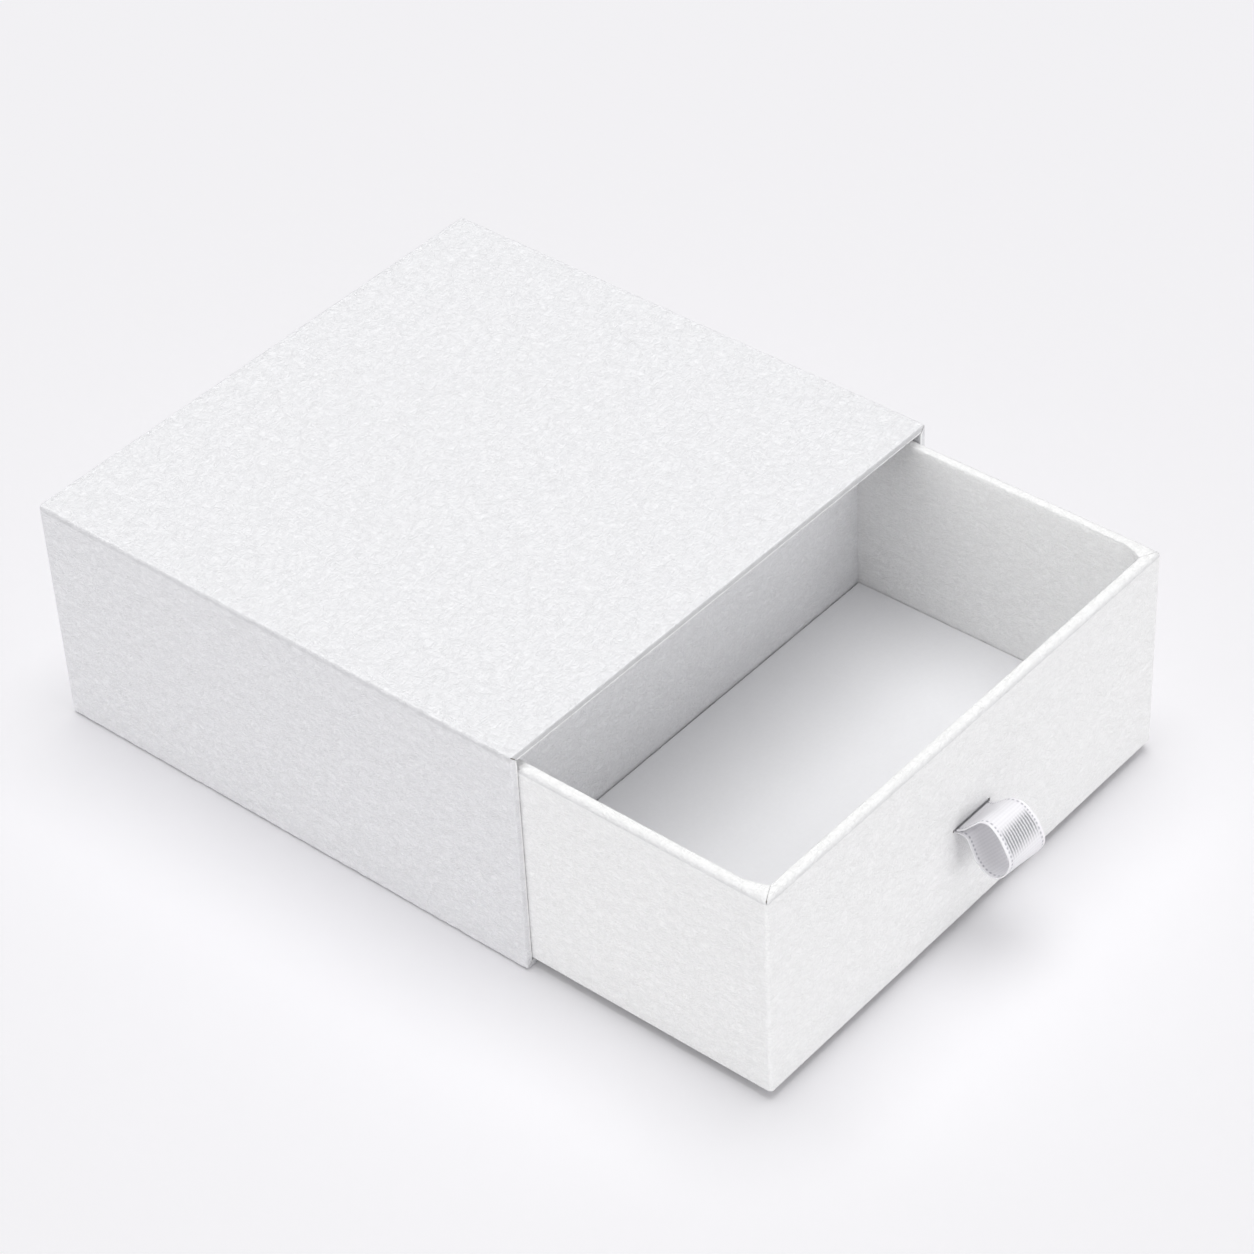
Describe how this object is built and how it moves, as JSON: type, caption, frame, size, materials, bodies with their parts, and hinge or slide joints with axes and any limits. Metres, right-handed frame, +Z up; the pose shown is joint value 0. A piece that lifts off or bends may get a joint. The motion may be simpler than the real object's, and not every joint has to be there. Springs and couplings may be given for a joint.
{
  "type": "sliding drawer gift box",
  "caption": "Paper-covered rigid board sleeve, open at one end, with a matching board drawer that slides out by a satin ribbon loop.",
  "frame": {"origin": "middle of the sleeve's underside, on the surface it stands on", "axes": "+Z up; the drawer opens along -Y; +X is to the right of someone facing the drawer from the front"},
  "size_m": [0.15, 0.232, 0.0645],
  "materials": {
    "greyboard": "matte",
    "stay_tape": "matte",
    "textured_wrap": "matte",
    "lining_paper": "matte",
    "corrugated_pad": "matte",
    "satin_ribbon": "satin"
  },
  "bodies": {
    "sleeve": {"sleeve_top_board": "greyboard", "sleeve_base_board": "greyboard", "sleeve_left_board": "greyboard", "sleeve_right_board": "greyboard", "sleeve_back_board": "greyboard", "sleeve_stay_top_left": "stay_tape", "sleeve_stay_top_right": "stay_tape", "sleeve_stay_base_left": "stay_tape", "sleeve_stay_base_right": "stay_tape", "sleeve_wrap": "textured_wrap", "sleeve_lining": "lining_paper", "sleeve_back_sheet": "textured_wrap", "sleeve_base_sheet": "textured_wrap"},
    "drawer": {"drawer_base_board": "greyboard", "drawer_front_board": "greyboard", "drawer_back_board": "greyboard", "drawer_left_board": "greyboard", "drawer_right_board": "greyboard", "drawer_stay_front_left": "stay_tape", "drawer_stay_front_right": "stay_tape", "drawer_stay_back_left": "stay_tape", "drawer_stay_back_right": "stay_tape", "drawer_wrap": "textured_wrap", "drawer_wall_lining": "textured_wrap", "partition_board": "greyboard", "partition_cover": "textured_wrap", "front_pad": "corrugated_pad", "front_pad_cover": "lining_paper", "rear_pad": "corrugated_pad", "rear_pad_cover": "lining_paper", "ribbon_tails": "satin_ribbon", "ribbon_patch": "stay_tape"},
    "ribbon": {"ribbon_loop": "satin_ribbon"}
  },
  "joints": [
    {"name": "drawer_slide", "type": "slide", "parent": "sleeve", "child": "drawer", "axis": [0, -1, 0], "range_m": [-0.0685, 0.0785]},
    {"name": "ribbon_flex", "type": "hinge", "parent": "drawer", "child": "ribbon", "pos_m": [0, -0.1429, 0.0312], "axis": [-1, 0, 0], "range_deg": [-35, 45], "stiffness_Nm_per_rad": 0.001}
  ]
}
